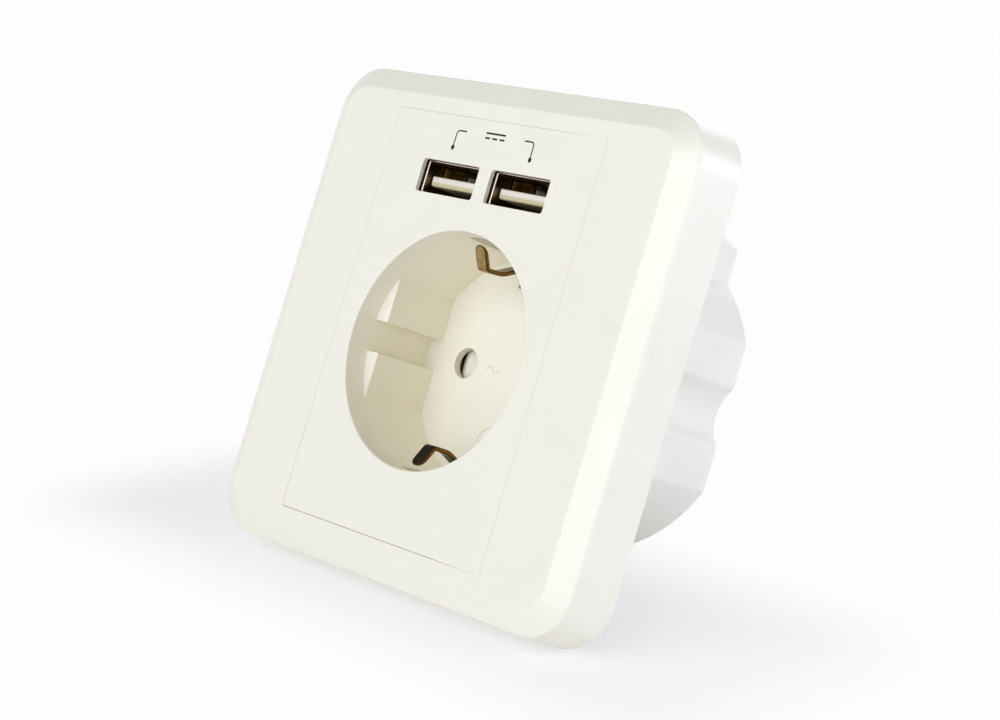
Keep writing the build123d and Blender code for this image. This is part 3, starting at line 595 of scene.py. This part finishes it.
# %% Hairline between plate and frame
GAP_MM = 0.08
LIP_TALL_MM = 0.3
plate_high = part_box("centre_plate")[1]
lip_x = plate_high.x / MM + GAP_MM / 2
lip_z = plate_high.z / MM + GAP_MM / 2
lip_depths = ((-1, -1, 0.2), (1, -1, 0.19), (1, 1, 0.18), (-1, 1, 0.19))
lip_path = [(sx * lip_x, front_y + depth, sz * lip_z) for sx, sz, depth in lip_depths]
lip = bar("plate_edge_lip", lip_path, TO_THE_ROOM, LIP_TALL_MM, GAP_MM, joint_abs, closed=True)
print("lip below the surface in mm:", [round(d - LIP_TALL_MM / 2, 2) for _, _, d in lip_depths])

# %% [markdown]
# The joint is drawn brown: fully at the lower left, half as strong up the left side and
# along the top, and not at all at the right. Two masks over the lip, one by height and one by
# width, are multiplied to draw that.

# %% Brown in the joint
BROWN_FULL_Z_MM = -34
BROWN_UPPER_SHARE = 0.5
BROWN_TO_X_MM = 12
CLEAN_FROM_X_MM = 23.3
low_side = add_node(
    joint_abs,
    "ShaderNodeMapRange",
    {
        "Value": axis_of(joint_abs, "Object", "Z"),
        "From Min": 0.0,
        "From Max": BROWN_FULL_Z_MM * MM,
        "To Min": BROWN_UPPER_SHARE,
    },
    interpolation_type="SMOOTHSTEP",
)
not_right = add_node(
    joint_abs,
    "ShaderNodeMapRange",
    {
        "Value": axis_of(joint_abs, "Object", "X"),
        "From Min": BROWN_TO_X_MM * MM,
        "From Max": CLEAN_FROM_X_MM * MM,
        "To Min": 1.0,
        "To Max": 0.0,
    },
)
joint_brown = add_node(
    joint_abs,
    "ShaderNodeMath",
    {0: low_side.outputs["Result"], 1: not_right.outputs["Result"]},
    operation="MULTIPLY",
)
second_colour(joint_abs, joint_brown.outputs["Value"], "6A4212")
print("dusty joint nodes:", len(joint_abs.node_tree.nodes))

# %% [markdown]
# The print over the ports is one thin film of ink: from each port a dot and a line lead up
# and in towards the middle. Ink from a pad is about 0.008 mm thick. It could be a mask in the
# plate's material, but as a piece of its own it keeps its sharp edge at any size. Each piece
# is twice as thick as the film and half sunk in the plate.

# %% Printed dots and lines
INK_MM = 0.016
LINE_MM = 0.24
LINE_START = (8.8, 29.1)
LINE_TURN = (8.15, 31.25)
TURN_RADIUS_MM = 0.6
LINE_END = (6.6, 31.85)
DOT_X_MM = 8.8
DOT_Z_MM = 29.0
DOT_RADIUS_MM = 0.36
DOT_TALLER = 1.2


def printed_dot(name, centre_x):
    """A dot of ink that is slightly taller than wide."""
    circle = arc((0, 0), DOT_RADIUS_MM, 0, 360, 24)[:-1]
    rim = [(centre_x + x, DOT_Z_MM + DOT_TALLER * z) for x, z in circle]
    edit = bmesh.new()
    under, over = [
        [edit.verts.new(Vector((x, front_y + rise, z)) * MM) for x, z in rim]
        for rise in (INK_MM / 2, -INK_MM / 2)
    ]
    edit.faces.new(over)
    edit.faces.new(under)
    for i in range(len(rim)):
        edit.faces.new((under[i - 1], under[i], over[i], over[i - 1]))
    return socket_piece(name, edit, ink)


prints = []
for label, sx in zip(SIDES, (-1, 1)):
    route = [LINE_START] + arc(LINE_TURN, TURN_RADIUS_MM, 0, 90, 5) + [LINE_END]
    line = [(sx * x, front_y, z) for x, z in route]
    prints.append(bar(f"print_line_{label}", line, TO_THE_ROOM, INK_MM, LINE_MM, ink))
    prints.append(printed_dot(f"print_dot_{label}", sx * DOT_X_MM))
print("dots and lines:", [piece.name for piece in prints])

# %% [markdown]
# Between the two lines stands the general sign for direct current, a bar over three dashes,
# which tells what the ports give. It is the same film of ink, in slightly wider strokes.

# %% Sign for direct current
STROKE_MM = 0.3
BAR_Z_MM = 32.15
DASH_Z_MM = 31.35
strokes = (
    (-2.2, 2.2, BAR_Z_MM),
    (-2.2, -1.1, DASH_Z_MM),
    (-0.55, 0.55, DASH_Z_MM),
    (1.1, 2.2, DASH_Z_MM),
)
for number, (x0, x1, z) in enumerate(strokes, 1):
    stroke = [(x0, front_y, z), (x1, front_y, z)]
    bar(f"print_current_sign_{number}", stroke, TO_THE_ROOM, INK_MM, STROKE_MM, ink)
print("strokes of the sign:", len(strokes))

# %% [markdown]
# Two marks are moulded in the floor of the well. One is the wave for alternating current, the
# other the ring that the end of an ejector pin leaves. In the tool both are cut into the
# steel, so on the part they stand up, by about a fifth of a millimetre. A bump in the plate's
# material would look flat from the side, so they are bars, half sunk in the floor.

# %% Marks on the well floor
WELL_DEPTH_MM = 17.5
WELL_Z_MM = -3.3
MARK_MM = 0.26
MARK_EDGE_MM = 0.06
WAVE_TALL_MM = 0.4
WAVE_LEFT_MM = -4.45
WAVE_LONG_MM = 2.7
WAVE_SWING_MM = 0.42
WAVE_LIFT_MM = 0.08
WAVE_STEPS = 16
RING_TALL_MM = 0.36
RING_CENTRE = (0.7, WELL_Z_MM - 11.6)
RING_RADIUS_MM = 2.6
floor_y = front_y + WELL_DEPTH_MM
wave_path = []
for step in range(WAVE_STEPS + 1):
    swing = WAVE_SWING_MM * math.sin(2 * math.pi * step / WAVE_STEPS)
    x = WAVE_LEFT_MM + WAVE_LONG_MM * step / WAVE_STEPS
    wave_path.append((x, floor_y, WELL_Z_MM + WAVE_LIFT_MM + swing))
ring_path = [(x, floor_y, z) for x, z in arc(RING_CENTRE, RING_RADIUS_MM, 0, 360, 48)[:-1]]
wave = bar("mark_current_wave", wave_path, TO_THE_ROOM, WAVE_TALL_MM, MARK_MM, cream_abs)
ring = bar(
    "mark_ejector_ring", ring_path, TO_THE_ROOM, RING_TALL_MM, MARK_MM, cream_abs, closed=True
)
for mark in (wave, ring):
    soften(mark, MARK_EDGE_MM)
print("marks:", wave.name, "and", ring.name)

# %% [markdown]
# The pieces in a port are placed from the port's inner walls. The shell is folded from one
# sheet, so its walls lie about one sheet inside its box. Its legs reach down through the
# board, so the port's floor is measured from the ceiling.

# %% Inside of a port
SHEET_MM = 0.35
PORT_TALL_MM = 5.1


def port_walls(label):
    """Where the mouth and the inner walls of a port lie, in millimetres."""
    shell_low, shell_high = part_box(f"usb_shell_{label}")
    west = shell_low.x / MM + SHEET_MM
    east = shell_high.x / MM - SHEET_MM
    ceiling = shell_high.z / MM - SHEET_MM
    return shell_low.y / MM, west, east, ceiling, ceiling - PORT_TALL_MM


print("mouth and walls of the left port:", [round(place, 2) for place in port_walls("left")])

# %% [markdown]
# A USB shell holds the plug with springs: two leaves on its ceiling, two on its floor and one
# on each side. Each is a strip that leaves the wall at the back, comes in to a nose and
# turns out again at its free end, so that a plug slides past it. The leaves are thin bronze
# and catch the light that comes in, which is what shows in the dark of the port. The bends
# are given as how far behind the mouth and how far in from the wall they lie.

# %% Springs in the USB ports
BENDS_MM = ((8.7, 0.12), (5.0, 0.62), (4.2, 0.66), (3.5, 0.34))
LEAF_FROM_MIDDLE_MM = 3.0
LEAF_WIDE_MM = 2.4
SIDE_LEAF_WIDE_MM = 1.7
LEAF_MM = 0.22
LEAF_EDGE_MM = 0.05
SIDE_DROP_MM = 1.05
leaves = []
for label in SIDES:
    mouth, west, east, ceiling, ground = port_walls(label)
    middle = (west + east) / 2
    for number, x in enumerate((middle - LEAF_FROM_MIDDLE_MM, middle + LEAF_FROM_MIDDLE_MM), 1):
        for side, wall, inwards in (("top", ceiling, -1), ("low", ground, 1)):
            path = [(x, mouth + depth, wall + inwards * inset) for depth, inset in BENDS_MM]
            name = f"usb_{label}_{side}_leaf_{number}"
            leaves.append(bar(name, path, TO_THE_RIGHT, LEAF_WIDE_MM, LEAF_MM, finger_bronze))
    for number, (wall, inwards) in enumerate(((west, 1), (east, -1)), 1):
        z = ceiling - SIDE_DROP_MM
        path = [(wall + inwards * inset, mouth + depth, z) for depth, inset in BENDS_MM]
        name = f"usb_{label}_side_leaf_{number}"
        leaves.append(bar(name, path, UPWARDS, SIDE_LEAF_WIDE_MM, LEAF_MM, finger_bronze))
for leaf in leaves:
    soften(leaf, LEAF_EDGE_MM)
print("leaves:", len(leaves))

# %% [markdown]
# Behind each side leaf a pale key of the plastic body shows. It is a plain block with
# rounded edges, in the plastic of the tongues.

# %% Keys behind the side leaves
KEY_INSET_MM = 0.3
KEY_DEPTHS_MM = (9.2, 11.7)
KEY_TALL_MM = 1.9
KEY_WIDE_MM = 0.6
KEY_EDGE_MM = 0.1
for label in SIDES:
    mouth, west, east, ceiling, ground = port_walls(label)
    for number, key_x in enumerate((west + KEY_INSET_MM, east - KEY_INSET_MM), 1):
        path = [(key_x, mouth + depth, ceiling - SIDE_DROP_MM) for depth in KEY_DEPTHS_MM]
        name = f"usb_{label}_body_key_{number}"
        body_key = bar(name, path, UPWARDS, KEY_TALL_MM, KEY_WIDE_MM, tongue_pbt)
        soften(body_key, KEY_EDGE_MM)
print("a key is", round(KEY_DEPTHS_MM[1] - KEY_DEPTHS_MM[0], 2), "mm long")

# %% [markdown]
# A black ring between the plate's lip and the shell is painted shade: it draws the dark line
# round each mouth, where the gap lies in shade. Its path is an oblong with a quarter turn at
# each corner.

# %% Painted shade round the ports
SHADE_RING_X_MM = 6.1
SHADE_RING_Z_MM = 2.3
SHADE_RING_TURN_MM = 0.5
SHADE_RING_AHEAD_MM = 0.25
SHADE_RING_DEEP_MM = 0.44
SHADE_RING_WIDE_MM = 0.14
shade_rings = []
for label in SIDES:
    mouth, west, east, ceiling, ground = port_walls(label)
    path = []
    for turn, (sx, sz) in enumerate(((1, 1), (-1, 1), (-1, -1), (1, -1))):
        corner = ((west + east) / 2 + sx * SHADE_RING_X_MM, (ceiling + ground) / 2 + sz * SHADE_RING_Z_MM)
        quarter = arc(corner, SHADE_RING_TURN_MM, 90 * turn, 90 * turn + 90, 4)
        path += [(x, mouth - SHADE_RING_AHEAD_MM, z) for x, z in quarter]
    # Each ring is a dark piece in the gap round the mouth, as painted shade.
    name = f"usb_{label}_painted_shade_ring"
    shade_rings.append(bar(name, path, TO_THE_ROOM, SHADE_RING_DEEP_MM, SHADE_RING_WIDE_MM, shade_ring_black, closed=True))
print("seals:", [seal.name for seal in shade_rings])

# %% [markdown]
# The table is a white sheet. The socket leans back on it: the lower back edge of the frame
# and the lower back edge of the housing both touch it, and those two edges give its slope in
# the socket's own frame.

# %% Table
TABLE_REACH_M = 3.0
frame_low, frame_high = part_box("outer_frame")
housing_low, housing_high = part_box("rear_housing")
table_slope = math.atan2(housing_low.z - frame_low.z, housing_high.y - frame_high.y)
table_mesh = bpy.data.meshes.new("table")
table_edit = bmesh.new()
bmesh.ops.create_grid(table_edit, x_segments=1, y_segments=1, size=TABLE_REACH_M)
table_edit.to_mesh(table_mesh)
table_edit.free()
table = bpy.data.objects.new("table", table_mesh)
bpy.context.scene.collection.objects.link(table)
table_foot = Matrix.Translation((0, frame_high.y, frame_low.z))
table.matrix_world = table_foot @ Matrix.Rotation(table_slope, 4, "X")
print("table slope in degrees:", round(math.degrees(table_slope), 2))

# %% [markdown]
# The photograph's white comes from the background's own colour and not from more light on the
# socket. The Light Path node tells which rays show the background, so the paper and the room
# can be plain white to those and still light the socket at a plain level.

# %% Rays that show the background
BACKGROUND_WHITE = "FDFDFD"


def background_rays(owner):
    """1 for rays that show the background: from the camera, off gloss or through clear things."""
    rays = add_node(owner, "ShaderNodeLightPath")
    gloss = add_node(
        owner,
        "ShaderNodeMath",
        {0: rays.outputs["Is Camera Ray"], 1: rays.outputs["Is Glossy Ray"]},
        operation="MAXIMUM",
    )
    every = add_node(
        owner,
        "ShaderNodeMath",
        {0: gloss.outputs["Value"], 1: rays.outputs["Is Transmission Ray"]},
        operation="MAXIMUM",
    )
    return every.outputs["Value"]


print("background white in linear light:", round(linear(BACKGROUND_WHITE)[0], 3))

# %% [markdown]
# The sheet is matt white paper. Away from the socket it is plain white. In an oblong round the
# foot of the socket those rays see only part of it as plain white, and the rest is the lit
# paper with the socket's soft shadow. Between the two it fades over a few centimetres. From
# below the sheet is clear, so that other views can look up.

# %% Paper
SHADE_CENTRE = (-8 * MM, 12 * MM, 0)
SHADE_HALF = (58 * MM, 12 * MM, 0)
SHADE_FADE_MM = 30
WHITE_SHARE = 0.58
paper, paper_shader = start_finish("white_paper_matt", Roughness=0.9)
paper_shader.inputs["Base Color"].default_value = linear("FDFDFC")
glow = add_node(
    paper, "ShaderNodeEmission", {"Color": linear(BACKGROUND_WHITE), "Strength": 1.0}
)
spot = add_node(paper, "ShaderNodeTexCoord").outputs["Object"]
shifted = add_node(
    paper, "ShaderNodeVectorMath", {0: spot, 1: SHADE_CENTRE}, operation="SUBTRACT"
)
folded = add_node(
    paper, "ShaderNodeVectorMath", {0: shifted.outputs["Vector"]}, operation="ABSOLUTE"
)
beyond = add_node(
    paper,
    "ShaderNodeVectorMath",
    {0: folded.outputs["Vector"], 1: SHADE_HALF},
    operation="SUBTRACT",
)
outside = add_node(
    paper,
    "ShaderNodeVectorMath",
    {0: beyond.outputs["Vector"], 1: (0, 0, 0)},
    operation="MAXIMUM",
)
reach = add_node(
    paper, "ShaderNodeVectorMath", {0: outside.outputs["Vector"]}, operation="LENGTH"
)
fade = add_node(
    paper,
    "ShaderNodeMapRange",
    {
        "Value": reach.outputs["Value"],
        "From Max": SHADE_FADE_MM * MM,
        "To Min": WHITE_SHARE,
        "To Max": 1.0,
    },
    interpolation_type="SMOOTHSTEP",
)
share = add_node(
    paper,
    "ShaderNodeMath",
    {0: background_rays(paper), 1: fade.outputs["Result"]},
    operation="MULTIPLY",
)
lit = add_node(
    paper,
    "ShaderNodeMixShader",
    {0: share.outputs["Value"], 1: paper_shader.outputs[0], 2: glow.outputs[0]},
)
underside = add_node(paper, "ShaderNodeNewGeometry")
clear = add_node(paper, "ShaderNodeBsdfTransparent")
one_sided = add_node(
    paper,
    "ShaderNodeMixShader",
    {0: underside.outputs["Backfacing"], 1: lit.outputs[0], 2: clear.outputs[0]},
)
paper_out = paper.node_tree.nodes["Material Output"]
paper.node_tree.links.new(one_sided.outputs[0], paper_out.inputs["Surface"])
table_mesh.materials.append(paper)
print("paper nodes:", len(paper.node_tree.nodes))

# %% [markdown]
# The room itself is a dim even white that fills the shadows, at a level where a colour renders
# about as it is written, and rays that show the background see it as white.

# %% Room
ROOM_STRENGTH = 0.27
world = bpy.data.worlds.new("studio")
bpy.context.scene.world = world
world.use_nodes = True
room = world.node_tree.nodes["Background"]
room.inputs["Color"].default_value = linear("FFFAF0")
room.inputs["Strength"].default_value = ROOM_STRENGTH
backdrop = add_node(
    world, "ShaderNodeBackground", {"Color": linear(BACKGROUND_WHITE), "Strength": 1.0}
)
seen = add_node(
    world,
    "ShaderNodeMixShader",
    {0: background_rays(world), 1: room.outputs[0], 2: backdrop.outputs[0]},
)
world_out = world.node_tree.nodes["World Output"]
world.node_tree.links.new(seen.outputs[0], world_out.inputs["Surface"])
print("room strength:", ROOM_STRENGTH)

# %% [markdown]
# The photograph's light is soft and comes mostly straight at the plate, so the floor of the
# well is as bright as the front and its walls fall off to a warm shade. A cooler light from
# the right and one from above and behind lift the sides. Large square lamps close to the
# socket give such light; a sun or a spot would draw hard shadows in the well.


# %% Lamps
def softbox(name, place_mm, size_mm, watts, tint):
    """A square area lamp at a place that points at the socket."""
    lamp = bpy.data.lights.new(name, "AREA")
    lamp.energy = watts
    lamp.color = linear(tint)[:3]
    lamp.shape = "SQUARE"
    lamp.size = size_mm * MM
    holder = bpy.data.objects.new(name, lamp)
    bpy.context.scene.collection.objects.link(holder)
    holder.location = Vector(place_mm) * MM
    holder.rotation_euler = (-holder.location).to_track_quat("-Z", "Y").to_euler()


softbox("front_light", (60, -735, 0), 860, 5.7, "E9F0FB")
softbox("right_light", (630, 270, 140), 700, 5.6, "E0E8FF")
softbox("back_light", (-250, 480, 520), 500, 1.0, "ECF2FF")

# %% [markdown]
# The camera was solved from the photograph and not set by eye: the round well, its depth, the
# pin holes and the square frame fix where it stood, how it was turned and its focal length.
# It looks at the socket's front from the right. The two directions below are the picture's
# right and down in the socket's own frame.

# %% Camera
FOCAL_MM = 80.16
SENSOR_MM = 36.0
CAMERA_MM = (252.4, -253.95, -13.36)
PICTURE_RIGHT = (0.69174, 0.66366, 0.2847)
PICTURE_DOWN = (0.18149, 0.22182, -0.95805)
lens = bpy.data.cameras.new("camera")
lens.sensor_fit = "HORIZONTAL"
lens.sensor_width = SENSOR_MM
lens.lens = FOCAL_MM
lens.clip_start = 0.01
lens.clip_end = 20.0
right = Vector(PICTURE_RIGHT).normalized()
down = Vector(PICTURE_DOWN)
up = -(down - right * down.dot(right)).normalized()
back = right.cross(up)
camera = bpy.data.objects.new("camera", lens)
stand = Matrix.Translation(Vector(CAMERA_MM) * MM)
camera.matrix_world = stand @ Matrix((right, up, back)).transposed().to_4x4()
bpy.context.scene.collection.objects.link(camera)
bpy.context.scene.camera = camera
bpy.context.scene.view_settings.view_transform = "Standard"
print("camera at", [round(c, 4) for c in camera.matrix_world.translation])
